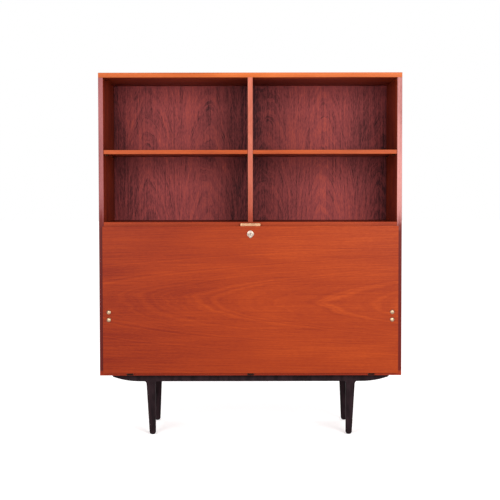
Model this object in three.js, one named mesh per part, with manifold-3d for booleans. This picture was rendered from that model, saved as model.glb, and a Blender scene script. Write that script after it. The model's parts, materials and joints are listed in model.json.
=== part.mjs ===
// Secretary desk: an open bookcase above a drop-front writing desk, on a low four-legged base.
// Millimetres. X runs across the case, Y from the front to the back, Z up from the floor.
import * as THREE from 'three';
import { mergeVertices } from 'three/addons/utils/BufferGeometryUtils.js';
import Module from 'manifold-3d';

const wasm = await Module();
wasm.setup();

// ---------- driving dimensions ----------
const HALF_WIDTH = 600;
const HEIGHT = 1444;
const DEPTH = 410;
const BOARD = 19;
const BASE_HEIGHT = 244;
const BACK_THICKNESS = 8;
const DESK_BOARD_TOP = 855;
const CLEARANCE = 0.3;

const SHELF_THICKNESS = 16;
const SHELF_TOP = 1140;
const SHELF_SETBACK = 4;
const PIN_RADIUS = 2.5;
const PIN_IN_WOOD = 10;
const PIN_PROUD = 8;
const PIN_YS = [85, 335];

const RAIL_HALF = 555;
const RAIL_HEIGHT = 28;
const RAIL_THICKNESS = 22;
const RAIL_SETBACK = 30;
const RAIL_END_HEIGHT = 10.5;
const RAIL_SWEEP = 112;
const COVE = 8;
const CROSS_INSET = 5;
const LEG_INNER = { front: 382, rear: 378 };
const INNER_TAPER_SHARE = { front: 0, rear: 0.7 };
const LEG_FOOT = 24;
const LEG_TOP = 36.4;
const LEG_TIP_RADIUS = 10;
const BACK_SETBACK = 22;

const FLAP_HALF = 585;
const FLAP_BOTTOM = 255;
const FLAP_TOP = 839;
const FLAP_THICKNESS = 18;
const FLAP_GAP = 1;
const FLAP_CORNER = 4;
const BOLT_X = 561;
const BOLT_HEIGHTS = [468.5, 498.5];
const BOLT_HEAD_RADIUS = 8.8;
const BOLT_HEAD_HEIGHT = 5;
const BOLT_SHANK_RADIUS = 3;

const HINGE_Y = -4;
const HINGE_Z = 251;
const HINGE_XS = { left: -480, centre: 0, right: 480 };
const KNUCKLE_RADIUS = 3;
const KNUCKLE_LENGTH = 26;
const KNUCKLE_GAP = 0.2;
const HINGE_BORE_RADIUS = 1.8;
const HINGE_PIN_RADIUS = 1.5;
const LEAF = 1.2;

const PULL_HALF = 39;
const PULL_HEIGHT = 11.5;
const PULL_SHEET = 1.2;
const PULL_LIP = 3;
const KEYHOLE_Z = 807;
const KEYHOLE_RADIUS = 4;
const ESCUTCHEON_HOLE_RADIUS = 2.5;
const ESCUTCHEON_WIDTH = 29;
const ESCUTCHEON_HEIGHT = 32;
const ESCUTCHEON_Z = 806.5;
const ESCUTCHEON_THICKNESS = 2;

const STAY_PIVOT_Y = 19;
const STAY_PIVOT_Z = 456;
const GUIDE_ANGLE = 12;
const ARM_HEIGHT = 12;
const ARM_THICKNESS = 3;
const ARM_X = 573;
const ARM_REACH = 340;
const STOP_LENGTH = 5;
const STOP_RADIUS = 4;
const EYE_RADIUS = 8;
const PIVOT_PIN_RADIUS = 3;
const EAR = 3;
const EAR_X = 569;
const BRACKET_PLATE = 3;
const PLATE_MARGIN = 11;
const GUIDE_HALF = 10;
const GUIDE_INSIDE = 4;

const INNER_FRONT = 150;
const INNER_BOARD = 12;
const INNER_SHELF_TOP = 612;
const PARTITION_X = 193;
const DRAWER_HEIGHT = 86;
const DRAWER_WALL = 8;
const DRAWER_BOTTOM = 4;
const DRAWER_BOTTOM_RAISE = 3;
const DRAWER_WALL_DROP = 6;
const RUNNING = 0.5;
const FINGER_NOTCH = 18;

const LOCK_HALF = 32;
const LOCK_DEPTH = 14;
const LOCK_SILL = 10;
const LOCK_BOTTOM = 780;
const LOCK_TOP = 834.5;
const BOLT_HALF = 10;
const LOCK_BOLT_Y = [3, 9];
const PLATE_HALF = 24;
const PLATE_Y = [0.5, 14];
const MORTISE_DEPTH = 12;

// ---------- values worked out from them ----------
const INNER_HALF = HALF_WIDTH - BOARD;
const CASE_FLOOR = BASE_HEIGHT + BOARD;
const TOP_UNDERSIDE = HEIGHT - BOARD;
const BACK_FACE = DEPTH - BACK_THICKNESS;
const DESK_BOARD_BOTTOM = DESK_BOARD_TOP - BOARD;
const RAIL_BOTTOM = BASE_HEIGHT - RAIL_HEIGHT;
const LEG_SHOULDER = RAIL_BOTTOM - COVE;
const FLAP_BACK = -FLAP_GAP;
const FLAP_FRONT = FLAP_BACK - FLAP_THICKNESS;
const FRONTMOST = FLAP_FRONT - BOLT_HEAD_HEIGHT;
const PLATE_SEAT_Y = [-1, PLATE_Y[1] + CLEARANCE];
const PLATE_SEAT_Z = DESK_BOARD_BOTTOM + 1.5;
const BOLT_MORTISE_Y = [LOCK_BOLT_Y[0] - 1, LOCK_BOLT_Y[1] + 1];
const MORTISE_TOP = DESK_BOARD_BOTTOM + MORTISE_DEPTH;

// ---------- finishes ----------
function finish(colour, roughness, metalness = 0) {
  return new THREE.MeshStandardMaterial({ color: colour, roughness, metalness });
}
const teak = finish(0xa9552f, 0.5);
const teakBack = finish(0x7c3c2a, 0.55);
const teakInside = finish(0x9a5232, 0.55);
const darkStain = finish(0x30252a, 0.45);
const brass = finish(0xdcb276, 0.3, 1);
const steel = finish(0x9a9690, 0.4, 1);

// ---------- shape helpers ----------
function block([x0, x1], [y0, y1], [z0, z1]) {
  const geometry = new THREE.BoxGeometry(x1 - x0, y1 - y0, z1 - z0);
  return geometry.translate((x0 + x1) / 2, (y0 + y1) / 2, (z0 + z1) / 2);
}

// A round bar along one axis, starting at the point and running to the plus side.
function rod(axis, [x, y, z], radius, length, sides = 24) {
  const geometry = new THREE.CylinderGeometry(radius, radius, length, sides).translate(0, length / 2, 0);
  if (axis === 'x') geometry.rotateZ(-Math.PI / 2);
  if (axis === 'z') geometry.rotateX(Math.PI / 2);
  return geometry.translate(x, y, z);
}

// The corner points of a drawn line, each one once.
function corners(path, divisions) {
  const points = path.getPoints(divisions);
  return points.filter((point, i) => point.distanceTo(points[(i + 1) % points.length]) > 1e-3);
}

// A filled outline turning anticlockwise, as its round holes turn clockwise.
function filled(path, divisions) {
  const points = corners(path, divisions);
  if (THREE.ShapeUtils.isClockWise(points)) points.reverse();
  return new THREE.Shape(points);
}

function circle(x, y, radius, divisions) {
  return new THREE.Path(corners(new THREE.Path().absarc(x, y, radius, 0, Math.PI * 2, true), divisions));
}

// A flat outline drawn in X and Z, given a thickness along Y.
function uprightSlab(shape, y0, y1) {
  const geometry = new THREE.ExtrudeGeometry(shape, { depth: y1 - y0, bevelEnabled: false });
  return geometry.rotateX(Math.PI / 2).translate(0, y1, 0);
}

// A flat outline drawn in Y and Z, given a thickness along X.
function sideSlab(shape, x0, x1) {
  const geometry = new THREE.ExtrudeGeometry(shape, { depth: x1 - x0, bevelEnabled: false });
  return geometry.rotateX(Math.PI / 2).rotateZ(Math.PI / 2).translate(x0, 0, 0);
}

function toSolid(geometry) {
  const bare = geometry.clone();
  bare.deleteAttribute('normal');
  bare.deleteAttribute('uv');
  const merged = mergeVertices(bare, 1e-4);
  const vertProperties = new Float32Array(merged.attributes.position.array);
  const triVerts = new Uint32Array(merged.index.array);
  return new wasm.Manifold(new wasm.Mesh({ numProp: 3, vertProperties, triVerts }));
}

function toGeometry(solid) {
  const mesh = solid.getMesh();
  const geometry = new THREE.BufferGeometry();
  geometry.setAttribute('position', new THREE.BufferAttribute(new Float32Array(mesh.vertProperties), 3));
  geometry.setIndex(new THREE.BufferAttribute(new Uint32Array(mesh.triVerts), 1));
  geometry.computeVertexNormals();
  return geometry;
}

function cut(geometry, ...tools) {
  let solid = toSolid(geometry);
  for (const tool of tools) solid = solid.subtract(toSolid(tool));
  return toGeometry(solid);
}

function join(geometry, ...others) {
  let solid = toSolid(geometry);
  for (const other of others) solid = solid.add(toSolid(other));
  return toGeometry(solid);
}

function add(parent, name, geometry, material) {
  const mesh = new THREE.Mesh(geometry, material);
  mesh.name = name;
  parent.add(mesh);
  return mesh;
}

const SIDES = { left: -1, right: 1 };
// A span of X on one side of the centre line, given as distances from it.
function across(sign, near, far) {
  return sign > 0 ? [near, far] : [-far, -near];
}

// ---------- carcass: boards that make the case ----------
function carcass() {
  const group = new THREE.Group();
  const fullDepth = [0, DEPTH];
  const boardDepth = [0, BACK_FACE];
  add(group, 'top_board', block([-HALF_WIDTH, HALF_WIDTH], fullDepth, [TOP_UNDERSIDE, HEIGHT]), teak);
  add(group, 'bottom_board', block([-HALF_WIDTH, HALF_WIDTH], fullDepth, [BASE_HEIGHT, CASE_FLOOR]), teak);
  const between = [CASE_FLOOR, TOP_UNDERSIDE];
  add(group, 'back_panel', block([-INNER_HALF, INNER_HALF], [BACK_FACE, DEPTH], between), teakBack);

  const holeRadius = PIN_RADIUS + CLEARANCE;
  const holeDepth = PIN_IN_WOOD + CLEARANCE;
  for (const [side, sign] of Object.entries(SIDES)) {
    const board = block(across(sign, INNER_HALF, HALF_WIDTH), fullDepth, between);
    const holeStart = sign > 0 ? INNER_HALF : -INNER_HALF - holeDepth;
    const holes = pinPlaces().map(([y, z]) => rod('x', [holeStart, y, z], holeRadius, holeDepth, 12));
    add(group, `side_${side}`, cut(board, ...holes), teak);
  }

  const divider = block([-BOARD / 2, BOARD / 2], boardDepth, [DESK_BOARD_TOP, TOP_UNDERSIDE]);
  const through = pinPlaces().map(([y, z]) => rod('x', [-BOARD, y, z], holeRadius, 2 * BOARD, 12));
  add(group, 'upper_divider', cut(divider, ...through), teak);

  const deskBoard = block([-INNER_HALF, INNER_HALF], boardDepth, [DESK_BOARD_BOTTOM, DESK_BOARD_TOP]);
  const below = DESK_BOARD_BOTTOM - 1;
  const seatX = [-PLATE_HALF - CLEARANCE, PLATE_HALF + CLEARANCE];
  const slotX = [-BOLT_HALF - 1, BOLT_HALF + 1];
  const plateSeat = block(seatX, PLATE_SEAT_Y, [below, PLATE_SEAT_Z]);
  const mortise = block(slotX, BOLT_MORTISE_Y, [below, MORTISE_TOP]);
  add(group, 'desk_board', cut(deskBoard, plateSeat, mortise), teak);

  const plate = block([-PLATE_HALF, PLATE_HALF], PLATE_Y, [DESK_BOARD_BOTTOM, PLATE_SEAT_Z - CLEARANCE]);
  const slot = block(slotX, BOLT_MORTISE_Y, [below, PLATE_SEAT_Z + 1]);
  add(group, 'strike_plate', cut(plate, slot), brass);
  return group;
}

// ---------- loose shelves on pins ----------
function pinPlaces() {
  const height = SHELF_TOP - SHELF_THICKNESS - PIN_RADIUS;
  return PIN_YS.map((y) => [y, height]);
}

function shelves() {
  const group = new THREE.Group();
  const near = BOARD / 2 + 0.5;
  const far = INNER_HALF - 0.5;
  for (const [side, sign] of Object.entries(SIDES)) {
    const depth = [SHELF_SETBACK, BACK_FACE - 1];
    const board = block(across(sign, near, far), depth, [SHELF_TOP - SHELF_THICKNESS, SHELF_TOP]);
    add(group, `shelf_${side}`, board, teak);
    pinPlaces().forEach(([y, z], index) => {
      const place = index === 0 ? 'front' : 'rear';
      const length = PIN_IN_WOOD + PIN_PROUD;
      const outer = sign > 0 ? INNER_HALF - PIN_PROUD : -INNER_HALF - PIN_IN_WOOD;
      add(group, `shelf_pin_${side}_outer_${place}`, rod('x', [outer, y, z], PIN_RADIUS, length, 12), brass);
      // In the divider the two pins of one hole meet near its middle.
      const inDivider = BOARD / 2 - CLEARANCE;
      const start = sign > 0 ? BOARD / 2 - inDivider : -BOARD / 2 - PIN_PROUD;
      const pin = rod('x', [start, y, z], PIN_RADIUS, inDivider + PIN_PROUD, 12);
      add(group, `shelf_pin_${side}_inner_${place}`, pin, brass);
    });
  }
  return group;
}

// ---------- base: boat-shaped rails and four tapered legs ----------
function legWidth(z) {
  return LEG_FOOT + (LEG_TOP - LEG_FOOT) * Math.min(z / RAIL_BOTTOM, 1);
}

// Long rail: its underside sweeps up at both ends and drops in a cove to a shoulder over each leg.
function railOutline(inner) {
  const outer = inner + LEG_TOP;
  const half = new THREE.Path();
  half.moveTo(-RAIL_HALF, BASE_HEIGHT);
  half.quadraticCurveTo(-RAIL_HALF + 1, BASE_HEIGHT - 8, -RAIL_HALF + 6, BASE_HEIGHT - RAIL_END_HEIGHT);
  half.quadraticCurveTo(-RAIL_HALF + RAIL_SWEEP / 2, RAIL_BOTTOM, -RAIL_HALF + RAIL_SWEEP, RAIL_BOTTOM);
  half.lineTo(-outer - COVE, RAIL_BOTTOM);
  half.absarc(-outer - COVE, LEG_SHOULDER, COVE, Math.PI / 2, 0, true);
  half.lineTo(-inner, LEG_SHOULDER);
  half.absarc(-inner + COVE, LEG_SHOULDER, COVE, Math.PI, Math.PI / 2, true);
  const points = corners(half, 6);
  const mirrored = points.map((point) => new THREE.Vector2(-point.x, point.y)).reverse();
  return new THREE.Shape([...points, ...mirrored]);
}

// A square leg that draws in to a foot with a rounded tip. The inner side of a front leg is plumb, and a
// rear leg takes most of its taper there.
function legGeometry(sign, place, yFront) {
  const tipSteps = 4;
  const levels = [];
  for (let step = 0; step <= tipSteps; step += 1) {
    levels.push(LEG_TIP_RADIUS * (1 - Math.cos((step / tipSteps) * Math.PI / 2)));
  }
  levels.push(BASE_HEIGHT);
  const geometry = new THREE.BoxGeometry(1, 1, 1, 1, 1, levels.length - 1);
  const position = geometry.attributes.position;
  for (let i = 0; i < position.count; i += 1) {
    const z = levels[Math.round((position.getZ(i) + 0.5) * (levels.length - 1))];
    const below = Math.max(LEG_TIP_RADIUS - z, 0);
    const inset = LEG_TIP_RADIUS - Math.sqrt(LEG_TIP_RADIUS ** 2 - below ** 2);
    const start = LEG_INNER[place] + INNER_TAPER_SHARE[place] * (LEG_TOP - legWidth(z));
    const inner = start + inset;
    const outer = start + legWidth(z) - inset;
    const nearer = position.getX(i) * sign < 0;
    const halfDepth = legWidth(z) / 2 - inset;
    const y = yFront + LEG_TOP / 2 + Math.sign(position.getY(i)) * halfDepth;
    position.setXYZ(i, sign * (nearer ? inner : outer), y, z);
  }
  geometry.computeVertexNormals();
  return geometry;
}

function base() {
  const group = new THREE.Group();
  const frontRail = [RAIL_SETBACK, RAIL_SETBACK + RAIL_THICKNESS];
  const rearRail = [DEPTH - BACK_SETBACK - RAIL_THICKNESS, DEPTH - BACK_SETBACK];
  add(group, 'rail_front', uprightSlab(railOutline(LEG_INNER.front), ...frontRail), darkStain);
  add(group, 'rail_rear', uprightSlab(railOutline(LEG_INNER.rear), ...rearRail), darkStain);
  const legY = { front: frontRail[0], rear: rearRail[1] - LEG_TOP };
  const railSpace = {
    front: [0, frontRail[1] + CLEARANCE],
    rear: [rearRail[0] - CLEARANCE, DEPTH],
  };
  for (const [side, sign] of Object.entries(SIDES)) {
    for (const place of ['front', 'rear']) {
      const halfBase = across(sign, 0, HALF_WIDTH);
      const notch = block(halfBase, railSpace[place], [LEG_SHOULDER - CLEARANCE, BASE_HEIGHT + 1]);
      const tongue = BASE_HEIGHT - CLEARANCE;
      const headroom = block(halfBase, [0, DEPTH], [tongue, BASE_HEIGHT + 1]);
      const leg = cut(legGeometry(sign, place, legY[place]), notch, headroom);
      add(group, `leg_${place}_${side}`, leg, darkStain);
    }
    const crossY = [legY.front + LEG_TOP + 1, legY.rear - 1];
    const crossNear = LEG_INNER.front + CROSS_INSET;
    const crossX = across(sign, crossNear, crossNear + RAIL_THICKNESS);
    add(group, `rail_cross_${side}`, block(crossX, crossY, [RAIL_BOTTOM, BASE_HEIGHT]), darkStain);
  }
  return group;
}

// ---------- desk interior: shelf, two partitions and two small drawers, above the stays' sweep ----------
function interior() {
  const group = new THREE.Group();
  const depth = [INNER_FRONT, BACK_FACE];
  const shelfZ = [INNER_SHELF_TOP - INNER_BOARD, INNER_SHELF_TOP];
  add(group, 'inner_shelf', block([-INNER_HALF, INNER_HALF], depth, shelfZ), teakInside);
  for (const [side, sign] of Object.entries(SIDES)) {
    const partitionX = across(sign, PARTITION_X, PARTITION_X + INNER_BOARD);
    const partition = block(partitionX, depth, [INNER_SHELF_TOP, DESK_BOARD_BOTTOM]);
    add(group, `partition_${side}`, partition, teakInside);
    group.add(drawer(side, sign));
  }
  return group;
}

function drawer(side, sign) {
  const group = new THREE.Group();
  const near = PARTITION_X + INNER_BOARD + RUNNING;
  const far = INNER_HALF - RUNNING;
  const [x0, x1] = across(sign, near, far);
  const zBottom = INNER_SHELF_TOP + RUNNING;
  const zTop = zBottom + DRAWER_HEIGHT;
  const frontBack = INNER_FRONT + INNER_BOARD;
  const rear = BACK_FACE - INNER_BOARD;

  // The front has a half-round finger notch in its top edge.
  const front = block([x0, x1], [INNER_FRONT, frontBack], [zBottom, zTop]);
  const notch = rod('y', [(x0 + x1) / 2, INNER_FRONT - 1, zTop + 2], FINGER_NOTCH, INNER_BOARD + 2, 32);
  add(group, `drawer_${side}_front`, cut(front, notch), teakInside);

  const box = new THREE.Shape();
  box.moveTo(x0, frontBack);
  box.lineTo(x0 + DRAWER_WALL, frontBack);
  box.lineTo(x0 + DRAWER_WALL, rear - DRAWER_WALL);
  box.lineTo(x1 - DRAWER_WALL, rear - DRAWER_WALL);
  box.lineTo(x1 - DRAWER_WALL, frontBack);
  box.lineTo(x1, frontBack);
  box.lineTo(x1, rear);
  box.lineTo(x0, rear);
  const wallHeight = DRAWER_HEIGHT - DRAWER_WALL_DROP;
  const walls = new THREE.ExtrudeGeometry(box, { depth: wallHeight, bevelEnabled: false });
  add(group, `drawer_${side}_walls`, walls.translate(0, 0, zBottom), teakInside);

  const bottomX = [x0 + DRAWER_WALL, x1 - DRAWER_WALL];
  const raised = zBottom + DRAWER_BOTTOM_RAISE;
  const bottom = block(bottomX, [frontBack, rear - DRAWER_WALL], [raised, raised + DRAWER_BOTTOM]);
  add(group, `drawer_${side}_bottom`, bottom, teakInside);
  return group;
}

// ---------- hinges: three butt hinges whose knuckles show under the flap ----------
function ring(x, length) {
  const outer = rod('x', [x, HINGE_Y, HINGE_Z], KNUCKLE_RADIUS, length, 16);
  const bore = rod('x', [x - 1, HINGE_Y, HINGE_Z], HINGE_BORE_RADIUS, length + 2, 12);
  return { outer, bore };
}

function hinges() {
  const group = new THREE.Group();
  const third = KNUCKLE_LENGTH / 3;
  for (const [place, x] of Object.entries(HINGE_XS)) {
    const start = x - KNUCKLE_LENGTH / 2;
    const span = [start, start + KNUCKLE_LENGTH];

    // The case leaf lies on the bottom board's front edge and carries the two outer knuckles.
    const caseLeaf = block(span, [-LEAF, 0], [BASE_HEIGHT + 1, FLAP_BOTTOM - 0.5]);
    const left = ring(start, third - KNUCKLE_GAP);
    const right = ring(start + 2 * third + KNUCKLE_GAP, third - KNUCKLE_GAP);
    const middleSpan = [start + third - KNUCKLE_GAP, start + 2 * third + KNUCKLE_GAP];
    const middleRoom = block(middleSpan, [-10, -0.2], [HINGE_Z - 4, FLAP_BOTTOM]);
    const caseSide = join(cut(caseLeaf, middleRoom), left.outer, right.outer);
    add(group, `hinge_leaf_case_${place}`, cut(caseSide, left.bore, right.bore), brass);

    // The flap leaf lies under the flap's lower edge and carries the middle knuckle.
    const leafZ = [FLAP_BOTTOM - LEAF, FLAP_BOTTOM];
    const middle = ring(start + third, third);
    const flapLeaf = block(span, [FLAP_FRONT + 2, HINGE_Y - KNUCKLE_RADIUS - 0.3], leafZ);
    const neck = block([start + third, start + 2 * third], [FLAP_FRONT + 4, HINGE_Y], leafZ);
    add(group, `hinge_leaf_flap_${place}`, cut(join(flapLeaf, neck, middle.outer), middle.bore), brass);

    const pin = rod('x', [start - 0.5, HINGE_Y, HINGE_Z], HINGE_PIN_RADIUS, KNUCKLE_LENGTH + 1, 12);
    add(group, `hinge_pin_${place}`, pin, steel);
  }
  return group;
}

// ---------- drop-front flap with its pull, escutcheon, lock and stay brackets ----------
// A rectangle with small rounded corners.
function flapOutline() {
  const half = FLAP_HALF - FLAP_CORNER;
  const low = FLAP_BOTTOM + FLAP_CORNER;
  const high = FLAP_TOP - FLAP_CORNER;
  const outline = new THREE.Path();
  outline.absarc(half, low, FLAP_CORNER, -Math.PI / 2, 0);
  outline.absarc(half, high, FLAP_CORNER, 0, Math.PI / 2);
  outline.absarc(-half, high, FLAP_CORNER, Math.PI / 2, Math.PI);
  outline.absarc(-half, low, FLAP_CORNER, Math.PI, Math.PI * 1.5);
  return filled(outline, 4);
}

function flap() {
  const group = new THREE.Group();
  const panel = uprightSlab(flapOutline(), FLAP_FRONT, FLAP_BACK);
  const keyhole = rod('y', [0, FLAP_FRONT - 1, KEYHOLE_Z], KEYHOLE_RADIUS, FLAP_THICKNESS + 2, 16);
  const boltHoles = [-BOLT_X, BOLT_X].flatMap((x) => BOLT_HEIGHTS.map((z) => (
    rod('y', [x, FLAP_FRONT - 1, z], BOLT_SHANK_RADIUS + CLEARANCE, FLAP_THICKNESS + 2, 16)
  )));
  add(group, 'flap_panel', cut(panel, keyhole, ...boltHoles), teak);

  // Lip pull: a foot on the flap's top edge and a finger lip standing up in front of the desk board.
  const pullX = [-PULL_HALF, PULL_HALF];
  const pullFront = FLAP_FRONT + 0.5;
  const foot = block(pullX, [pullFront, FLAP_BACK - 3], [FLAP_TOP, FLAP_TOP + PULL_SHEET]);
  const lip = block(pullX, [pullFront, pullFront + PULL_LIP], [FLAP_TOP, FLAP_TOP + PULL_HEIGHT]);
  add(group, 'flap_pull', join(foot, lip), brass);

  const shield = uprightSlab(shieldOutline(), FLAP_FRONT - ESCUTCHEON_THICKNESS, FLAP_FRONT);
  add(group, 'escutcheon', shield, brass);
  group.add(lock());

  for (const [side, sign] of Object.entries(SIDES)) {
    add(group, `stay_bracket_${side}`, bracketGeometry(sign), brass);
    BOLT_HEIGHTS.forEach((z, index) => {
      const bolt = add(group, `stay_bolt_${side}_${index === 0 ? 'lower' : 'upper'}`, boltGeometry(), brass);
      bolt.position.set(sign * BOLT_X, FLAP_FRONT, z);
    });
  }
  return group;
}

// Shield plate: a small rounded top, widest at the middle, drawn to a soft point, with a keyhole.
function shieldOutline() {
  const half = ESCUTCHEON_WIDTH / 2;
  const top = ESCUTCHEON_Z + ESCUTCHEON_HEIGHT / 2;
  const bottom = ESCUTCHEON_Z - ESCUTCHEON_HEIGHT / 2;
  const outline = new THREE.Path();
  outline.moveTo(0, bottom);
  for (const sign of [1, -1]) {
    const end = sign > 0 ? top : bottom;
    const shoulder = [sign * half * 0.8, top - 4];
    const cheek = [sign * half * 0.7, bottom + 6];
    outline.quadraticCurveTo(...(sign > 0 ? cheek : shoulder), sign * half, ESCUTCHEON_Z + 1);
    outline.quadraticCurveTo(...(sign > 0 ? shoulder : cheek), 0, end);
  }
  const shape = filled(outline, 6);
  shape.holes.push(circle(0, KEYHOLE_Z, ESCUTCHEON_HOLE_RADIUS, 12));
  return shape;
}

// Domed head in front of the flap, shank through it and through the bracket's plate.
function boltGeometry() {
  const end = FLAP_THICKNESS + FLAP_GAP + BRACKET_PLATE;
  const profile = [new THREE.Vector2(0, -end), new THREE.Vector2(BOLT_SHANK_RADIUS, -end)];
  profile.push(new THREE.Vector2(BOLT_SHANK_RADIUS, 0), new THREE.Vector2(BOLT_HEAD_RADIUS, 0));
  for (let step = 0; step <= 4; step += 1) {
    const angle = (step / 4) * Math.PI / 2;
    const radius = step === 4 ? 0 : BOLT_HEAD_RADIUS * Math.cos(angle);
    profile.push(new THREE.Vector2(radius, 1 + (BOLT_HEAD_HEIGHT - 1) * Math.sin(angle)));
  }
  return new THREE.LatheGeometry(profile, 20).rotateX(Math.PI);
}

// Flat plate on the flap's inner face with an ear at right angles that carries the stay's pivot.
function bracketGeometry(sign) {
  const plateX = across(sign, BOLT_X - 9, EAR_X + EAR / 2);
  const plateZ = [STAY_PIVOT_Z - EYE_RADIUS, BOLT_HEIGHTS[1] + PLATE_MARGIN];
  const plate = block(plateX, [FLAP_BACK, FLAP_BACK + BRACKET_PLATE], plateZ);
  const earX = across(sign, EAR_X - EAR / 2, EAR_X + EAR / 2);
  const earZ = [STAY_PIVOT_Z - EYE_RADIUS, STAY_PIVOT_Z + EYE_RADIUS];
  const ear = block(earX, [FLAP_BACK, STAY_PIVOT_Y], earZ);
  const earEnd = rod('x', [earX[0], STAY_PIVOT_Y, STAY_PIVOT_Z], EYE_RADIUS, EAR, 20);
  const pinX = across(sign, EAR_X, ARM_X + ARM_THICKNESS / 2 + 1.5);
  const pin = rod('x', [pinX[0], STAY_PIVOT_Y, STAY_PIVOT_Z], PIVOT_PIN_RADIUS, pinX[1] - pinX[0], 16);
  const holes = BOLT_HEIGHTS.map((z) => (
    rod('y', [sign * BOLT_X, FLAP_BACK - 1, z], BOLT_SHANK_RADIUS + CLEARANCE, 6, 16)
  ));
  return cut(join(plate, ear, earEnd, pin), ...holes);
}

// Rim lock screwed to the flap's inner face; its bolt slides up behind the desk board's front edge.
function lock() {
  const group = new THREE.Group();
  const shell = block([-LOCK_HALF, LOCK_HALF], [FLAP_BACK, FLAP_BACK + LOCK_DEPTH], [LOCK_BOTTOM, LOCK_TOP]);
  const channelX = [-BOLT_HALF - 0.5, BOLT_HALF + 0.5];
  const channelY = [LOCK_BOLT_Y[0] - 0.5, LOCK_BOLT_Y[1] + 0.5];
  const channel = block(channelX, channelY, [LOCK_BOTTOM + LOCK_SILL, LOCK_TOP + 1]);
  const keyWay = rod('y', [0, FLAP_BACK - 1, KEYHOLE_Z], KEYHOLE_RADIUS, 5, 16);
  add(group, 'lock_case', cut(shell, channel, keyWay), brass);
  const boltZ = [LOCK_BOTTOM + LOCK_SILL + 1, LOCK_TOP - 1];
  add(group, 'lock_bolt', block([-BOLT_HALF, BOLT_HALF], LOCK_BOLT_Y, boltZ), steel);
  return group;
}

// ---------- stays: a flat arm on each bracket that slides through a swivelling guide on the side ----------
function stays() {
  const group = new THREE.Group();
  const spokeY = STAY_PIVOT_Y - HINGE_Y;
  const spokeZ = STAY_PIVOT_Z - HINGE_Z;
  const spoke = Math.hypot(spokeY, spokeZ);
  const startAngle = Math.atan2(spokeZ, spokeY);
  const guideTurn = THREE.MathUtils.degToRad(GUIDE_ANGLE);
  const guideY = HINGE_Y + spoke * Math.cos(startAngle - guideTurn);
  const guideZ = HINGE_Z + spoke * Math.sin(startAngle - guideTurn);
  const slope = Math.atan2(guideZ - STAY_PIVOT_Z, guideY - STAY_PIVOT_Y);
  for (const [side, sign] of Object.entries(SIDES)) {
    const arm = add(group, `stay_arm_${side}`, armGeometry(sign), brass);
    arm.position.set(sign * ARM_X, STAY_PIVOT_Y, STAY_PIVOT_Z);
    arm.rotation.x = slope;
    const guide = add(group, `stay_guide_${side}`, guideGeometry(sign), brass);
    guide.position.set(sign * ARM_X, guideY, guideZ);
    guide.rotation.x = slope;
  }
  return group;
}

// Drawn lying along Y from its pivot eye; a round stop at the far end keeps it in the guide.
function armGeometry(sign) {
  const halfThick = ARM_THICKNESS / 2;
  const outline = new THREE.Path();
  outline.absarc(0, 0, EYE_RADIUS, Math.PI * 1.5, Math.PI * 0.5, true);
  outline.lineTo(EYE_RADIUS + 2, ARM_HEIGHT / 2);
  outline.lineTo(ARM_REACH, ARM_HEIGHT / 2);
  outline.absarc(ARM_REACH, 0, ARM_HEIGHT / 2, Math.PI / 2, -Math.PI / 2, true);
  outline.lineTo(EYE_RADIUS + 2, -ARM_HEIGHT / 2);
  const shape = filled(outline, 12);
  shape.holes.push(circle(0, 0, PIVOT_PIN_RADIUS + CLEARANCE, 16));
  const bar = sideSlab(shape, -halfThick, halfThick);
  const [stopStart, stopEnd] = across(sign, -STOP_LENGTH, halfThick + 1);
  return join(bar, rod('x', [stopStart, ARM_REACH, 0], STOP_RADIUS, stopEnd - stopStart, 16));
}

function guideGeometry(sign) {
  const [x0, x1] = across(sign, -GUIDE_INSIDE, INNER_HALF - ARM_X - 0.5);
  const body = block([x0, x1], [-GUIDE_HALF, GUIDE_HALF], [-GUIDE_HALF, GUIDE_HALF]);
  const slotX = [-ARM_THICKNESS / 2 - 0.5, ARM_THICKNESS / 2 + 0.5];
  const slotZ = [-ARM_HEIGHT / 2 - 0.5, ARM_HEIGHT / 2 + 0.5];
  return cut(body, block(slotX, [-GUIDE_HALF - 1, GUIDE_HALF + 1], slotZ));
}

// ---------- the whole desk, standing on the floor with its footprint centred ----------
const desk = new THREE.Group();
desk.name = 'secretary_desk';
desk.add(carcass(), shelves(), base(), interior(), hinges(), flap(), stays());
desk.position.set(0, -(FRONTMOST + DEPTH) / 2, 0);

export default desk;
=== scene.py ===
import json
from math import pi, radians

import bmesh
import bpy
import numpy as np
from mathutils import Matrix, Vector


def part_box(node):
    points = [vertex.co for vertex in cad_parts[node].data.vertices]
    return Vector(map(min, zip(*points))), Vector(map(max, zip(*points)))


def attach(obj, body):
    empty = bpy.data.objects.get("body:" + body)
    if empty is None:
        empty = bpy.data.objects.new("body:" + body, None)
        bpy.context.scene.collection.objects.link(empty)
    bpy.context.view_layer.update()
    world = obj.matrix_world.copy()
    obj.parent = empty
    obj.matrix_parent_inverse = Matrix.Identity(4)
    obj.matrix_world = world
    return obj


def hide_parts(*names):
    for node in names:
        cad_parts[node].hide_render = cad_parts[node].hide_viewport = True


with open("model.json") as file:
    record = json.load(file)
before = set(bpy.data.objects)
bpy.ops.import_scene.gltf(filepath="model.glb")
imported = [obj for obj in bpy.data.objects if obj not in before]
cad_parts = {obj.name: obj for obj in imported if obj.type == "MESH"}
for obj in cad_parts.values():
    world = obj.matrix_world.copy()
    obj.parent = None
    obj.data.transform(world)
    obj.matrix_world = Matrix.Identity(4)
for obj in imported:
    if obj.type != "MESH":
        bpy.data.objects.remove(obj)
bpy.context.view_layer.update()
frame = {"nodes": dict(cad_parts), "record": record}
MM = 0.001

# ---------------------------------------------------------------- the set
# A seamless white floor under even daylight, with two large soft boxes in front, left and right,
# and the camera level with the upper part of the desk. Lengths are in m.
FLOOR_HALF = 40.0
PAPER_GLOW = 0.22
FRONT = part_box("side_left")[0][1]


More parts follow.
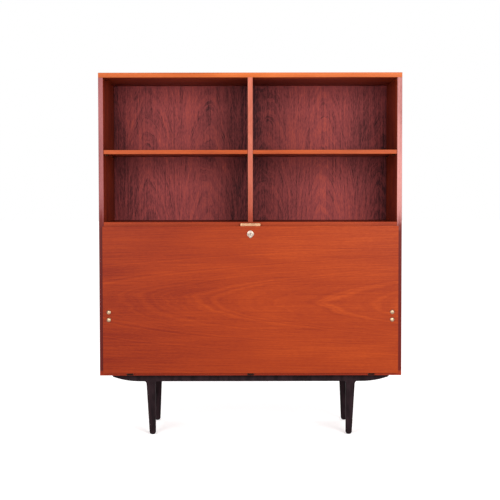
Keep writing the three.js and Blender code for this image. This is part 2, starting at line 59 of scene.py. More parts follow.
def linear(code):
    """One sRGB hex colour as linear RGBA: each channel is undone by the sRGB curve."""
    channels = np.array([int(code[i:i + 2], 16) / 255 for i in (0, 2, 4)])
    curve = np.where(channels <= 0.04045, channels / 12.92, ((channels + 0.055) / 1.055) ** 2.4)
    return (*[float(c) for c in curve], 1.0)


def node(tree, kind, inputs=(), **settings):
    """Adds a node: inputs map a socket to a number or to a link, and settings are its own properties."""
    made = tree.nodes.new(kind)
    for name, value in settings.items():
        setattr(made, name, value)
    for socket, value in dict(inputs).items():
        if isinstance(value, bpy.types.NodeSocket):
            tree.links.new(value, made.inputs[socket])
        else:
            made.inputs[socket].default_value = value
    return made


def blank_material(name):
    """An empty node material, with its tree and its Principled shader."""
    material = bpy.data.materials.new(name)
    material.use_nodes = True
    tree = material.node_tree
    tree.nodes.clear()
    shader = tree.nodes.new("ShaderNodeBsdfPrincipled")
    node(tree, "ShaderNodeOutputMaterial", {"Surface": shader.outputs[0]})
    return material, tree, shader


# Matt seamless paper: no gloss, so nothing mirrors in it, with a faint cloudiness.
paper, tree, shader = blank_material("matt_backdrop_paper")
place = node(tree, "ShaderNodeTexCoord").outputs["Object"]
cloud = node(tree, "ShaderNodeTexNoise", {"Vector": place, "Scale": 0.8}).outputs["Fac"]
ramp = node(tree, "ShaderNodeValToRGB", {"Fac": cloud})
ramp.color_ramp.elements[0].color = linear("FCFCFC")
ramp.color_ramp.elements[1].color = linear("FFFFFF")
tree.links.new(ramp.outputs["Color"], shader.inputs["Base Color"])
shader.inputs["Roughness"].default_value = 0.95
shader.inputs["Specular IOR Level"].default_value = 0.0
# A light table under the paper washes the shadows out.
shader.inputs["Emission Color"].default_value = linear("FFFFFF")
shader.inputs["Emission Strength"].default_value = PAPER_GLOW

mesh = bpy.data.meshes.new("floor")
floor_corners = [(-FLOOR_HALF, -FLOOR_HALF, 0), (FLOOR_HALF, -FLOOR_HALF, 0),
                 (FLOOR_HALF, FLOOR_HALF, 0), (-FLOOR_HALF, FLOOR_HALF, 0)]
mesh.from_pydata(floor_corners, [], [(0, 1, 2, 3)])
mesh.materials.append(paper)
floor = bpy.data.objects.new("floor", mesh)
bpy.context.collection.objects.link(floor)

DAYLIGHT_STRENGTH = 1.0
world = bpy.data.worlds.new("daylight")
world.use_nodes = True
world.node_tree.nodes["Background"].inputs["Color"].default_value = linear("FFFFFF")
world.node_tree.nodes["Background"].inputs["Strength"].default_value = DAYLIGHT_STRENGTH
bpy.context.scene.world = world
bpy.context.scene.view_settings.view_transform = "Standard"

SOFT_BOX_SIDE = 1.4
SOFT_BOX_ASIDE = 1.3
SOFT_BOX_AWAY = 3.2
SOFT_BOX_HEIGHT = 1.5
AIM_HEIGHT = 0.9
LEFT_POWER, RIGHT_POWER = 80, 110


def soft_box(name, aside, power):
    """A square lamp in front of the desk, that far to the side, turned towards the middle of its front."""
    lamp = bpy.data.lights.new(name, "AREA")
    lamp.size = SOFT_BOX_SIDE
    lamp.energy = power
    box = bpy.data.objects.new(name, lamp)
    place = (aside, FRONT - SOFT_BOX_AWAY, SOFT_BOX_HEIGHT)
    box.location = place
    turn = np.subtract((0.0, FRONT, AIM_HEIGHT), place)
    tilt = np.arctan2(np.hypot(turn[0], turn[1]), -turn[2])
    box.rotation_euler = (tilt, 0, np.arctan2(-turn[0], turn[1]))
    bpy.context.collection.objects.link(box)


soft_box("soft_box_left", -SOFT_BOX_ASIDE, LEFT_POWER)
soft_box("soft_box_right", SOFT_BOX_ASIDE, RIGHT_POWER)

# The sensor's width is in mm, the focal length in widths of the frame, and the angles in degrees.
SENSOR = 36.0
FOCAL_IN_FRAMES = 2.52
CAMERA_DISTANCE = 4.991
CAMERA_HEIGHT = 0.965
CAMERA_DOWN = 2.538
CAMERA_ASIDE = -0.0014
CAMERA_ROLL = 0.09
lens = bpy.data.cameras.new("camera")
lens.sensor_width = SENSOR
lens.lens = SENSOR * FOCAL_IN_FRAMES
camera = bpy.data.objects.new("camera", lens)
camera.location = (CAMERA_ASIDE, FRONT - CAMERA_DISTANCE, CAMERA_HEIGHT)
camera.rotation_euler = (radians(90 - CAMERA_DOWN), radians(CAMERA_ROLL), 0)
bpy.context.collection.objects.link(camera)
bpy.context.scene.camera = camera

# ---------------------------------------------------------------- carcass
# Chipboard faced and edged with teak veneer, oiled. The grain runs across the top, bottom and
# desk board and up the sides and the divider. The edges are eased by hand with fine paper.
BOARD_EASE = 0.8  # mm
MERGE_DISTANCE = 0.01 * MM
FLAT_ANGLE = radians(1)
SHARP_ANGLE = radians(35)
BODY_OF = {n: body for body, names in frame["record"]["behaviour"]["bodies"].items() for n in names}


def eased(name, radius, segments=3):
    """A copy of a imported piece: triangles merged, flat faces joined, edges rounded to the radius in mm."""
    mesh = frame["nodes"][name].data.copy()
    shape = bmesh.new()
    shape.from_mesh(mesh)
    bmesh.ops.remove_doubles(shape, verts=shape.verts, dist=MERGE_DISTANCE)
    bmesh.ops.dissolve_limit(shape, angle_limit=FLAT_ANGLE, verts=shape.verts, edges=shape.edges)
    for face in shape.faces:
        face.smooth = True
    shape.to_mesh(mesh)
    shape.free()
    mesh.set_sharp_from_angle(angle=SHARP_ANGLE)
    mesh.materials.clear()
    piece = bpy.data.objects.new(name + "_shown", mesh)
    bpy.context.collection.objects.link(piece)
    bevel = piece.modifiers.new("eased", "BEVEL")
    bevel.width = radius * MM
    bevel.segments = segments
    bevel.limit_method = "ANGLE"
    bevel.angle_limit = SHARP_ANGLE
    bevel.harden_normals = True
    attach(piece, BODY_OF[name])
    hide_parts(name)
    return piece


def finish_with(piece, material):
    """Gives a piece its material."""
    piece.data.materials.append(material)
    return piece


VEIN_SHARPNESS = 22.0
SHADE_DEPTH = 0.8
POOL_SHADE_DEPTH = 0.32
FALLOFF_DEPTH = 0.24
TEAK_SPECULAR = 0.07


def teak_veneer(name, along, across, colours, heart=(0.0, 0.0, 60, 0.04), band=9, leaf=None, gloss=0.42,
                figure=0.5, veins=0.3, flecks=0.5, clouds=0.8, wave=1.0, fine=0.75, streak=150, shaded=None,
                painted_light_pools=None, painted_falloff=None):
    """Flat-sawn teak veneer. Growth bands are irregular noise of the distance from the tree's heart, a line
    that leans through the board, so they show as long lines with nested arches over the heart.
    heart is (along, across) of the arches in m, its depth in mm and its lean. band is the band width in mm.
    leaf is the width in m of one sheet of veneer, where sheets are laid side by side as mirror images.
    gloss is the roughness of the polish. figure, veins, flecks and clouds say how strongly the bands, the
    thin dark veins at their limits, the short open pores and the slow changes of colour show. wave is how
    far the bands wander, fine the strength and streak the length in mm of the fine streaks along the grain.
    shaded is a pair of heights in m: from the second down to the first the tone is painted darker and darker,
    with the cube of the way down: painted shade where less light falls.
    bleached is (distance from the middle, half width) in m of the two places across the board painted
    lightest:
    away from them the tone is painted darker with the cube of the distance, painted shade towards the edges.
    deeper is a pair of places along the grain in m: the tone is painted darker evenly from first to second,
    as painted shade where the light falls off."""
    material, tree, shader = blank_material(name)
    axes = {axis: i for i, axis in enumerate("XYZ")}
    through = next(axis for axis in "XYZ" if axis not in (along, across))
    place = node(tree, "ShaderNodeTexCoord").outputs["Object"]
    split = node(tree, "ShaderNodeSeparateXYZ", {0: place})

    def math(operation, *values):
        return node(tree, "ShaderNodeMath", dict(enumerate(values)), operation=operation).outputs[0]

    def stretched(length, width, detail, seed):
        """Noise drawn out along the grain, its features length by width in mm, about zero."""
        scale = [1 / (width * MM)] * 3
        scale[axes[along]] = 1 / (length * MM)
        mapping = node(tree, "ShaderNodeMapping", {
            "Vector": place, "Location": [seed, seed * 1.7, seed * 0.6], "Scale": scale})
        noise = node(tree, "ShaderNodeTexNoise", {
            "Vector": mapping.outputs[0], "Scale": 1.0, "Detail": detail})
        return math("SUBTRACT", noise.outputs["Fac"], 0.5)

    # How far the heart's line wanders through the board in long waves, and each band in short ones.
    wander = math("MULTIPLY", stretched(700, 120, 2, 3.1), 0.05 * wave)
    ripple = math("MULTIPLY", stretched(110, 16, 2, 8.4), 0.006 * wave)
    side = math("SUBTRACT", split.outputs[across], heart[1])
    if leaf:
        side = math("SUBTRACT", math("PINGPONG", math("ADD", side, 10 * leaf), leaf), leaf / 2)
    side = math("ADD", side, wander)
    lean = math("MULTIPLY", math("SUBTRACT", split.outputs[along], heart[0]), heart[3])
    depth = math("ADD", math("ADD", lean, heart[2] * MM), wander)
    depth = math("ADD", depth, split.outputs[through])
    distance = math("SQRT", math("ADD", math("MULTIPLY", side, side), math("MULTIPLY", depth, depth)))
    distance = math("ADD", distance, ripple)
    turn = math("MULTIPLY", distance, 1 / (band * MM))
    rings = node(tree, "ShaderNodeTexNoise", {"W": turn, "Scale": 1.0, "Detail": 3.0, "Roughness": 0.65},
                 noise_dimensions="1D").outputs["Fac"]
    bands = math("SUBTRACT", rings, 0.5)
    # A vein runs wherever the bands' noise passes through its middle value, and breaks off here and there.
    vein = math("SUBTRACT", 1.0, math("MULTIPLY", math("ABSOLUTE", bands), VEIN_SHARPNESS))
    vein = node(tree, "ShaderNodeClamp", {"Value": vein}).outputs[0]
    fade = node(tree, "ShaderNodeMapRange", {
        "Value": stretched(140, 45, 2, 4.4), "From Min": -0.08, "From Max": 0.12})
    vein = math("MULTIPLY", vein, fade.outputs[0])
    streaks = stretched(streak, 4, 3, 1.3)
    pores = stretched(14, 2.2, 2, 5.7)
    slow = stretched(420, 90, 3, 6.2)

    # Bands, streaks, pores and slow clouds, less the veins, add up to one tone, which picks the colour.
    tone = math("ADD", math("MULTIPLY", bands, 1.6 * figure), math("MULTIPLY", streaks, fine))
    tone = math("ADD", tone, math("MULTIPLY", pores, flecks))
    tone = math("ADD", tone, math("MULTIPLY", slow, 2.0 * clouds))
    tone = math("ADD", math("SUBTRACT", tone, math("MULTIPLY", vein, veins)), 0.5)
    if painted_light_pools:
        away = math("ABSOLUTE", math("SUBTRACT", math("ABSOLUTE", split.outputs[across]), painted_light_pools[0]))
        pool_shade = math("POWER", math("DIVIDE", away, painted_light_pools[1]), 3.0)
        tone = math("SUBTRACT", tone, math("MULTIPLY", pool_shade, POOL_SHADE_DEPTH))
    if shaded:
        dusk = node(tree, "ShaderNodeMapRange", {"Value": split.outputs["Z"], "From Min": shaded[0],
                                                 "From Max": shaded[1], "To Min": 1.0, "To Max": 0.0})
        tone = math("SUBTRACT", tone, math("MULTIPLY", math("POWER", dusk.outputs[0], 3.0), SHADE_DEPTH))
    if painted_falloff:
        falloff_share = node(tree, "ShaderNodeMapRange", {"Value": split.outputs[along], "From Min": painted_falloff[0],
                                                 "From Max": painted_falloff[1], "To Max": FALLOFF_DEPTH})
        tone = math("SUBTRACT", tone, falloff_share.outputs[0])
    ramp = node(tree, "ShaderNodeValToRGB", {"Fac": tone})
    stops = ramp.color_ramp.elements
    middle = stops.new(0.5)
    for stop, code in zip((stops[0], middle, stops[2]), colours):
        stop.color = linear(code)
    tree.links.new(ramp.outputs["Color"], shader.inputs["Base Color"])
    rough = node(tree, "ShaderNodeMapRange", {"Value": pores, "From Min": -0.3, "From Max": 0.3,
                                              "To Min": gloss + 0.08, "To Max": gloss - 0.05})
    tree.links.new(rough.outputs[0], shader.inputs["Roughness"])
    relief = math("ADD", math("MULTIPLY", pores, 0.7), math("MULTIPLY", streaks, 0.3))
    bump = node(tree, "ShaderNodeBump", {"Height": relief, "Strength": 0.25, "Distance": 0.25 * MM})
    tree.links.new(bump.outputs[0], shader.inputs["Normal"])
    shader.inputs["Specular IOR Level"].default_value = TEAK_SPECULAR
    return material


def lipping(name, along, across, colours, **look):
    """The wood of a board's edge: straighter than the faces and polished by hands. Its given colours are
    paler than the faces, partly by painted light.
    """
    plain = {"figure": 0.3, "veins": 0.1, "fine": 0.45, "gloss": 0.35}
    return teak_veneer(name, along, across, colours, **{**plain, **look})


FACES_FRONT = -0.9


def edged(piece, material):
    """Gives the faces that look to the front, the solid lippings of a veneered board, their own material."""
    piece.data.materials.append(material)
    last = len(piece.data.materials) - 1
    for face in piece.data.polygons:
        if face.normal.y < FACES_FRONT:
            face.material_index = last


CASE = ("48120A", "641E0C", "7C2C12")
side_teak = teak_veneer("teak_veneer_sides", "Z", "Y", CASE, heart=(0.9, 0.05, 90, 0.05))
top_teak = teak_veneer("teak_veneer_top", "X", "Y", CASE, heart=(0.2, 0.02, 80, 0.03))
# The upright edges carry a painted pink sheen from about the loose shelves upwards, and painted shade below
# it, darkest beside the proud flap. The left and right edges are lit and shaded copies of one colour, the
# right paler.
FLAP_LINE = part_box("flap_panel")[1][2]
PAINTED_SHEEN_ABOVE = 1.12
UPRIGHT = {"shaded": (FLAP_LINE, PAINTED_SHEEN_ABOVE)}
OUTER = {**UPRIGHT, "figure": 0.25, "veins": 0.05}
left_lipping = lipping("teak_lipping_left", "Z", "X", ("4E1410", "6C3A3A", "7E4848"), **OUTER)
right_lipping = lipping("teak_lipping_right", "Z", "X", ("54150E", "8E5C58", "A46E68"), **OUTER)
divider_lipping = lipping("teak_lipping_divider", "Z", "X", ("702A1A", "8A4838", "9E5846"), **UPRIGHT)
# The lippings across the case are coloured lighter the higher they sit, painted light falling from above; the
# bottom board's is darkest, painted shade under the proud flap.
top_lipping = lipping("teak_lipping_top", "X", "Z", ("76320E", "8E4218", "A05428"))
desk_lipping = lipping("teak_lipping_desk", "X", "Z", ("621C08", "78280A", "8A3612"), gloss=0.4)
bottom_lipping = lipping("teak_lipping_bottom", "X", "Z", ("541404", "701E08", "843012"), gloss=0.4)
for name, (face_wood, edge_wood) in {
    "top_board": (top_teak, top_lipping), "bottom_board": (top_teak, bottom_lipping),
    "side_left": (side_teak, left_lipping), "side_right": (side_teak, right_lipping),
    "desk_board": (top_teak, desk_lipping), "upper_divider": (side_teak, divider_lipping),
}.items():
    edged(finish_with(eased(name, BOARD_EASE), face_wood), edge_wood)

# ---------------------------------------------------------------- back panel
# Thin plywood let in between the sides, its front faced with redder teak in upright leaves,
# each laid as the mirror image of the next, so pairs of tall arches stand side by side.
BACK_EASE = 0.4
# Each bay's back is painted lighter in its middle and darker towards the sides and the divider: painted light
# and painted shade of the compartments.
back_teak = teak_veneer("teak_veneer_back", "Z", "X", ("321014", "763030", "9A4032"),
                        heart=(1.36, -0.304, 14, 0.09), band=5, leaf=0.248, gloss=0.5, figure=0.3, veins=0.26,
                        flecks=0.9, clouds=0.3, wave=0.5, fine=0.8, streak=220, painted_light_pools=(0.3, 0.28))
finish_with(eased("back_panel", BACK_EASE), back_teak)

# ---------------------------------------------------------------- loose shelves
# Thinner veneered boards, one in each half of the bookcase. They lie on round brass pins let into
# the sides and the divider, four to a shelf, and can be lifted out. The pins' brass is coloured dark,
# painted shade so that they sink into the shadow under the shelves.
# Coloured between the top's and the desk board's lippings: painted light by height.
shelf_lipping = lipping("teak_lipping_shelf", "X", "Z", ("702C10", "883A16", "9C4A22"))
for side in ("left", "right"):
    edged(finish_with(eased("shelf_" + side, BOARD_EASE), top_teak), shelf_lipping)


def brass_metal(name, code, rough, patch=6, dulled=0.72):
    """Metal whose colour and gloss are broken by wear: brass under old lacquer, or plain steel. rough is its
    mean roughness, patch the width of the worn places in mm, and dulled how dark it is between them."""
    material, tree, shader = blank_material(name)
    place = node(tree, "ShaderNodeTexCoord").outputs["Object"]
    wear = node(tree, "ShaderNodeTexNoise", {"Vector": place, "Scale": 1 / (patch * MM), "Detail": 4})
    wear = wear.outputs["Fac"]
    ramp = node(tree, "ShaderNodeValToRGB", {"Fac": wear})
    dull, bright = ramp.color_ramp.elements
    dull.position, bright.position = 0.3, 0.65
    bright.color = linear(code)
    dull.color = tuple(c * dulled for c in linear(code)[:3]) + (1.0,)
    tree.links.new(ramp.outputs["Color"], shader.inputs["Base Color"])
    gloss = node(tree, "ShaderNodeMapRange", {"Value": wear, "To Min": rough + 0.12, "To Max": rough - 0.05})
    tree.links.new(gloss.outputs[0], shader.inputs["Roughness"])
    shader.inputs["Metallic"].default_value = 1.0
    return material


aged_brass = brass_metal("aged_brass", "4A3424", 0.42)
PIN_EASE = 0.5
for name in BODY_OF:
    if name.startswith("shelf_pin"):
        finish_with(eased(name, PIN_EASE), aged_brass)

# ---------------------------------------------------------------- base
# Solid beech stained black-brown. Two long rails with swept-up ends are joined by cross rails, and
# the four tapered legs are lapped behind the long rails and glued. Corners are well rounded by hand.
FOOT_WIDTH = 24 * MM
TIP_RADIUS = 10 * MM
LEG_CORNER = 5 * MM
TONGUE_CORNER = 1.5 * MM
LAP_GAP = 0.3 * MM
RAIL_EASE = 2.0  # mm
LOFT_SHARP_ANGLE = radians(40)
LOFT_MERGE = 0.002 * MM
INNER_TAPER_SHARE = {"front": 0.0, "rear": 0.7}


def rounded_ring(x_span, y_span, radius, z, per_corner=6):
    """Points round a rectangle whose corners are quarter circles: each corner's centre plus the radius
    turned through a quarter turn. Anticlockwise from above."""
    (x0, x1), (y0, y1) = sorted(x_span), sorted(y_span)
    quarter = np.linspace(0, pi / 2, per_corner)
    angle = np.concatenate([quarter + k * pi / 2 for k in range(4)])
    cx = np.repeat([x1 - radius, x0 + radius, x0 + radius, x1 - radius], per_corner)
    cy = np.repeat([y1 - radius, y1 - radius, y0 + radius, y0 + radius], per_corner)
    return np.column_stack([cx + radius * np.cos(angle), cy + radius * np.sin(angle), np.full_like(cx, z)])


def loft(name, rings, closed=False):
    """A skin over rings of equal count, given as stations by points by 3. Each ring joins the next, and the
    ends are filled with one face each, or the last ring joins the first where the path is closed."""
    rings = np.asarray(rings)
    stations, around = rings.shape[:2]
    grid = np.arange(stations * around).reshape(stations, around)
    here = grid if closed else grid[:-1]
    there = np.roll(grid, -1, axis=0) if closed else grid[1:]
    quads = np.stack([here, np.roll(here, -1, 1), np.roll(there, -1, 1), there], -1).reshape(-1, 4)
    faces = quads.tolist()
    if not closed:
        faces += [grid[0, ::-1].tolist(), grid[-1].tolist()]
    mesh = bpy.data.meshes.new(name)
    mesh.from_pydata(rings.reshape(-1, 3).tolist(), [], faces)
    shape = bmesh.new()
    shape.from_mesh(mesh)
    bmesh.ops.remove_doubles(shape, verts=shape.verts, dist=LOFT_MERGE)
    bmesh.ops.recalc_face_normals(shape, faces=shape.faces)
    for face in shape.faces:
        face.smooth = True
    shape.to_mesh(mesh)
    shape.free()
    mesh.set_sharp_from_angle(angle=LOFT_SHARP_ANGLE)
    piece = bpy.data.objects.new(name, mesh)
    bpy.context.collection.objects.link(piece)
    return piece


def stained_wood():
    """Black-brown spirit stain on beech under thin satin lacquer: nearly even, with faint long grain."""
    material, tree, shader = blank_material("black_brown_stained_beech")
    place = node(tree, "ShaderNodeTexCoord").outputs["Object"]
    mapping = node(tree, "ShaderNodeMapping", {"Vector": place, "Scale": (60, 120, 22)})
    grain = node(tree, "ShaderNodeTexNoise", {"Vector": mapping.outputs[0], "Scale": 1.0, "Detail": 4})
    grain = grain.outputs["Fac"]
    ramp = node(tree, "ShaderNodeValToRGB", {"Fac": grain})
    deep, light = ramp.color_ramp.elements
    deep.color, light.color = linear("130C0E"), linear("221619")
    deep.position, light.position = 0.35, 0.7
    tree.links.new(ramp.outputs["Color"], shader.inputs["Base Color"])
    gloss = node(tree, "ShaderNodeMapRange", {"Value": grain, "To Min": 0.7, "To Max": 0.58})
    tree.links.new(gloss.outputs[0], shader.inputs["Roughness"])
    shader.inputs["Specular IOR Level"].default_value = 0.03
    bump = node(tree, "ShaderNodeBump", {"Height": grain, "Strength": 0.15, "Distance": 0.2 * MM})
    tree.links.new(bump.outputs[0], shader.inputs["Normal"])
    return material


stain = stained_wood()
rail_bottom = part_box("rail_cross_left")[0][2]
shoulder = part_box("rail_front")[0][2] - LAP_GAP
# The rings lie close together round the tip and far apart along the straight taper.
tip_heights = TIP_RADIUS * (1 - np.cos(np.linspace(0, pi / 2, 7)))
heights = np.concatenate([tip_heights, np.linspace(30 * MM, shoulder - 9 * MM, 6), [shoulder]])
for place_name in ("front", "rear"):
    rail_front_y, rail_back_y = (corner[1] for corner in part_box("rail_" + place_name))
    for side in ("left", "right"):
        name = f"leg_{place_name}_{side}"
        low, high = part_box(name)
        out = 1 if side == "right" else -1
        inner, outer = (low[0], high[0]) if out > 0 else (high[0], low[0])
        top_width = high[0] - low[0]
        if place_name == "front":
            centre_y = rail_front_y + top_width / 2
            tongue_y = (rail_back_y + LAP_GAP, high[1])
        else:
            centre_y = rail_back_y - top_width / 2
            tongue_y = (low[1], rail_front_y - LAP_GAP)
        rings = []
        for z in heights:
            # The width grows evenly from the foot to the rail. A front leg is plumb on its inner side, and
            # a rear leg takes most of its taper there. Below the tip's radius every side draws in along a
            # quarter circle.
            width = FOOT_WIDTH + (top_width - FOOT_WIDTH) * z / rail_bottom
            start = inner + out * INNER_TAPER_SHARE[place_name] * (top_width - width)
            inset = TIP_RADIUS - np.sqrt(TIP_RADIUS ** 2 - max(TIP_RADIUS - z, 0) ** 2)
            half = width / 2 - inset
            x_span = (start + out * inset, start + out * (width - inset))
            y_span = (centre_y - half, centre_y + half)
            rings.append(rounded_ring(x_span, y_span, min(LEG_CORNER, half * 0.7), z))
        for z in (shoulder, high[2]):
            # The tongue behind the rail.
            x_span = (inner + out * LAP_GAP, outer - out * 2 * LAP_GAP)
            rings.append(rounded_ring(x_span, tongue_y, TONGUE_CORNER, z))
        leg = loft(name + "_turned", rings)
        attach(leg, "case")
        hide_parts(name)
        finish_with(leg, stain)
for name in ("rail_front", "rail_rear", "rail_cross_left", "rail_cross_right"):
    finish_with(eased(name, RAIL_EASE, 4), stain)

# ---------------------------------------------------------------- drop-front flap
# One heavy board faced with a single run of flat-sawn teak, grain across, edged all round in teak.
# Closed, it stands a little proud of the case and covers half the sides' edges.
FLAP_EASE = 1.5
# The flap's tone is painted darker towards its left end: painted shade where the light falls off.
flap_teak = teak_veneer("teak_veneer_flap", "X", "Z", ("540F04", "732506", "923B0E"),
                        heart=(0.62, 0.54, 12, 0.05), band=3, gloss=0.4, figure=0.28, veins=0.06, flecks=0.35,
                        clouds=0.26, wave=0.4, fine=0.5, streak=300, painted_falloff=(0.1, -0.55))
finish_with(eased("flap_panel", FLAP_EASE), flap_teak)

# ---------------------------------------------------------------- lip pull
# A strip of brass bent to an L: its foot is screwed to the flap's top edge, its lip stands up in
# front of the desk board. The lip is hollowed in the middle, where fingers have polished it.
PULL_SHEET = 1.4 * MM
HOLLOW = 1.0 * MM
END_DROP = 1.2 * MM
FOOT_SCREWS_X = (-24 * MM, 24 * MM)
brass = brass_metal("polished_brass", "C8A078", 0.24)


def slotted_screws(name, body, places, facing, radius, crown=0.8 * MM):
    """Slotted screw heads at the places, all facing one way: facing is an axis and a sign. Each head is a
    row of sections across its disc, as wide as the chord there, whose height is a crown that falls off with
    the square of the distance from the middle. The sections near the middle drop into the slot."""
    slot_half, slot_depth = 0.14 * radius, 0.7 * crown
    station = np.array([-0.98, -0.85, -0.6, -0.3, -0.145, -0.14, 0.14, 0.145, 0.3, 0.6, 0.85, 0.98]) * radius
    share = np.linspace(-1, 1, 7)
    chord = np.sqrt(radius ** 2 - station ** 2)
    along = chord[:, None] * share
    height = crown * (1 - 0.8 * (station[:, None] ** 2 + along ** 2) / radius ** 2)
    height = height - slot_depth * (np.abs(station) <= slot_half)[:, None]
    height = np.maximum(height, 0.1 * crown)
    side = np.repeat(station[:, None], share.size, axis=1)
    top = np.stack([side, along, height], -1)
    under = np.stack([side, along, np.full_like(along, -0.3 * MM)], -1)[:, ::-1]
    section = np.concatenate([top, under], axis=1)
    axis, sign = facing
    order = {"X": [2, 0, 1], "Y": [0, 2, 1], "Z": [0, 1, 2]}[axis]
    turned = section[..., order]
    turned[..., "XYZ".index(axis)] *= sign
    for index, place in enumerate(places):
        head = loft(f"{name}_{index}", turned + np.array(place))
        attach(head, body)
        head.data.materials.append(brass)


low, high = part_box("flap_pull")
station = np.linspace(low[0], high[0], 41)
# Nought at the two ends and one in the middle.
inward_share = 1 - np.abs(station - (low[0] + high[0]) / 2) / ((high[0] - low[0]) / 2)
# The lip draws back with the square root of the way in from each end, and is flat over the middle
# quarter. Its top edge drops at the very ends with the square of the way out.
lip_y = low[1] + HOLLOW * np.clip(inward_share / 0.75, 0, 1) ** 0.5
lip_back = lip_y + PULL_SHEET
lip_top = high[2] - END_DROP * np.clip(1 - inward_share / 0.08, 0, 1) ** 2
foot_top = low[2] + PULL_SHEET
# The section, from the lip's foot up its front, over its top and down behind, then back along the foot.
section = [
    (low[1], low[2]), (lip_y, low[2] + 3 * MM),
    (lip_y, lip_top - 2 * MM), (lip_y + 0.3 * MM, lip_top - 0.5 * MM), (lip_y + 1.2 * MM, lip_top),
    (lip_y + 2.2 * MM, lip_top - 0.6 * MM), (lip_back, lip_top - 3 * MM),
    (lip_back, low[2] + 2.6 * MM), (lip_back + 1.2 * MM, foot_top),
    (high[1], foot_top), (high[1], low[2]),
]
rings = np.stack([np.column_stack(np.broadcast_arrays(station, y, z)) for y, z in section], axis=1)
pull = loft("flap_pull_bent", rings)
bevel = pull.modifiers.new("eased", "BEVEL")
bevel.width = 0.3 * MM
bevel.segments = 2
bevel.limit_method = "ANGLE"
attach(pull, "flap")
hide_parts("flap_pull")
handled_brass = brass_metal("handled_brass", "937056", 0.28, patch=16, dulled=0.5)
finish_with(pull, handled_brass)
# Two screws hold the foot down, a little behind its middle.
foot_middle = low[1] + 0.62 * (high[1] - low[1])
slotted_screws("flap_pull_screw", "flap", [(x, foot_middle, foot_top) for x in FOOT_SCREWS_X], ("Z", 1),
               3.2 * MM, 0.6 * MM)

# ---------------------------------------------------------------- escutcheon
# A cast brass shield let on to the flap round the keyhole, and domed towards it. Its edge comes to a
# soft point below, and its face is worn and pitted.
low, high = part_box("escutcheon")
KEYHOLE_BELOW_TOP = 15.0 * MM
KEYHOLE_RADIUS = 2.3 * MM
SLOT_HALF = 1.0 * MM
SLOT_REACH = 6 * MM
UPPER_POWER, LOWER_POWER = 1.5, 1.25
middle_z = high[2] - KEYHOLE_BELOW_TOP
angle = np.linspace(0, 2 * pi, 96, endpoint=False)
across, up = np.cos(angle), np.sin(angle)
half_width = (high[0] - low[0]) / 2
reach = np.where(up > 0, high[2] - middle_z, middle_z - low[2])
# The outline is where the powers of the shares of the half width and of the reach add up to one: the
# power two would give an ellipse and one a diamond, so lower powers below give the shield its point.
power = np.where(up > 0, UPPER_POWER, LOWER_POWER)
edge_out = (np.abs(across / half_width) ** power + np.abs(up / reach) ** power) ** (-1 / power)
# The keyhole is a round hole with a straight slot running down from it.
slot = np.minimum(SLOT_REACH, SLOT_HALF / np.maximum(np.abs(across), 1e-6))
edge_in = np.where(up < 0, np.maximum(KEYHOLE_RADIUS, slot), KEYHOLE_RADIUS)
# The section of the plate from the keyhole's edge outwards: back, rim, domed front, and back again.
share = np.array([0.0, 1.0, 1.0, 0.97, 0.8, 0.55, 0.3, 0.1, 0.0])
proud = np.array([0.0, 0.0, 0.35, 0.55, 0.7, 0.85, 0.95, 1.0, 0.9]) * (high[1] - low[1])
radius = edge_in + share[:, None] * (edge_out - edge_in)
x = radius * across
z = middle_z + radius * up
y = high[1] - np.repeat(proud[:, None], angle.size, axis=1)
escutcheon = loft("escutcheon_cast", np.stack([x, y, z], -1), closed=True)
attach(escutcheon, "flap")
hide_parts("escutcheon")
cast_brass = brass_metal("worn_cast_brass", "94857A", 0.34, patch=4, dulled=0.28)
finish_with(escutcheon, cast_brass)

# ---------------------------------------------------------------- bracket bolts
# Domed brass heads of the bolts that hold each stay's bracket through the flap, in pairs. The shanks
# run through to the back of the flap, where sleeve screws take them.
SHANK_RADIUS = 3 * MM
HEAD_RIM = 1.2 * MM
bolt_brass = brass_metal("domed_brass", "A0866C", 0.3, patch=5, dulled=0.5)
flap_front, flap_back = (corner[1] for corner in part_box("flap_panel"))
curve = np.linspace(0, pi / 2, 9)[:-1]
turn = np.linspace(0, 2 * pi, 40, endpoint=False)
for side in ("left", "right"):
    for row in ("lower", "upper"):
        name = f"stay_bolt_{side}_{row}"
        low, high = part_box(name)
        centre_x, centre_z = (low[0] + high[0]) / 2, (low[2] + high[2]) / 2
        head = (high[0] - low[0]) / 2
        dome = flap_front - low[1] - HEAD_RIM
        # Place along the bolt and radius there, from the far end of the shank to the crown of the head: a
        # chamfer, the shank, the head's upright rim, and a quarter of an ellipse up to the crown.
        along = np.concatenate([[high[1], high[1] - 0.4 * MM, flap_front, flap_front, flap_front - 0.9 * MM],
                                flap_front - HEAD_RIM - dome * np.sin(curve), [low[1]]])
        radius = np.concatenate([[2.6 * MM, SHANK_RADIUS, SHANK_RADIUS, head - 0.3 * MM, head],
                                 (head - 0.2 * MM) * np.cos(curve), [0.05 * MM]])
        rings = np.stack([centre_x + radius[:, None] * np.cos(turn),
                          np.repeat(along[:, None], turn.size, axis=1),
                          centre_z + radius[:, None] * np.sin(turn)], -1)
        bolt = loft(name + "_turned", rings)
        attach(bolt, "flap")
        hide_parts(name)
        finish_with(bolt, bolt_brass)

# ---------------------------------------------------------------- hinges
# Three short brass butt hinges, coloured nearly black. One leaf is fixed to the case and one to the flap, and
# the knuckles hang round a steel pin just under the flap's lower edge.
LEAF_EASE, HINGE_PIN_EASE = 0.2, 0.3
dull_brass = brass_metal("tarnished_brass", "1E1512", 0.5)
plain_steel = brass_metal("plain_steel", "8C8A86", 0.35)
for place_name in ("left", "centre", "right"):
    finish_with(eased("hinge_leaf_case_" + place_name, LEAF_EASE, 2), dull_brass)
    finish_with(eased("hinge_leaf_flap_" + place_name, LEAF_EASE, 2), dull_brass)
    finish_with(eased("hinge_pin_" + place_name, HINGE_PIN_EASE, 2), plain_steel)

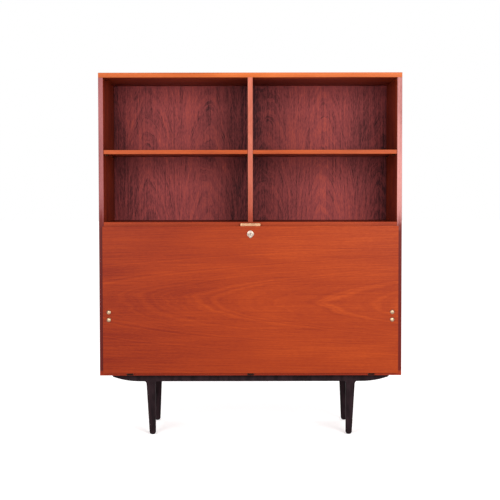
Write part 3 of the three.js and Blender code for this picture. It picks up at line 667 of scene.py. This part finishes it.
# ---------------------------------------------------------------- lock
# A brass rim lock on the back of the flap, held by a screw in each corner. Its steel bolt shoots up
# into the strike plate under the desk board.
CASE_EASE, BOLT_EASE = 0.8, 0.6
SCREW_MARGIN = 5.5 * MM
finish_with(eased("lock_case", CASE_EASE), brass)
low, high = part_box("lock_case")
screw_places = [(x, high[1], z) for x in (low[0] + SCREW_MARGIN, high[0] - SCREW_MARGIN)
                for z in (low[2] + SCREW_MARGIN, high[2] - SCREW_MARGIN)]
slotted_screws("lock_case_screw", "flap", screw_places, ("Y", 1), 3 * MM)
finish_with(eased("strike_plate", LEAF_EASE, 2), brass)
finish_with(eased("lock_bolt", BOLT_EASE), plain_steel)

# ---------------------------------------------------------------- stays
# On each side a flat brass arm turns on a bracket on the flap and slides through a swivelling
# guide on the side of the case; a stop at its end holds the open flap level.
STAY_EASE = 0.4
PLATE_BACK = flap_back + 3 * MM
for side in ("left", "right"):
    for name in ("stay_bracket_", "stay_arm_", "stay_guide_"):
        finish_with(eased(name + side, STAY_EASE, 2), brass)
    # A slotted sleeve screw takes the end of each bracket bolt, and one screw pins the guide to the case.
    sleeves = []
    for row in ("lower", "upper"):
        low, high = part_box(f"stay_bolt_{side}_{row}")
        sleeves.append(((low[0] + high[0]) / 2, PLATE_BACK, (low[2] + high[2]) / 2))
    slotted_screws(f"stay_bolt_{side}_sleeve", "flap", sleeves, ("Y", 1), 5 * MM, 1.2 * MM)
    low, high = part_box("stay_guide_" + side)
    inward, sign = (low[0], -1) if side == "right" else (high[0], 1)
    pivot = (inward, (low[1] + high[1]) / 2, (low[2] + high[2]) / 2)
    slotted_screws(f"stay_guide_{side}_pivot", "stay_guide_" + side, [pivot], ("X", sign), 4.5 * MM,
                   1.0 * MM)

# ---------------------------------------------------------------- fittings behind the flap
# A shelf across the desk, two partitions, and a small drawer at each side, all in plain matt teak.
# Each drawer has a finger notch in the top of its front instead of a knob.
INSIDE_EASE = 0.6
inside_teak = teak_veneer("teak_inside", "X", "Z", ("6A2C12", "8A4020", "9E5634"),
                          heart=(0.0, 0.75, 50, 0.05), gloss=0.55)
for name in [n for n in BODY_OF if n.startswith(("inner_shelf", "partition", "drawer"))]:
    finish_with(eased(name, INSIDE_EASE), inside_teak)
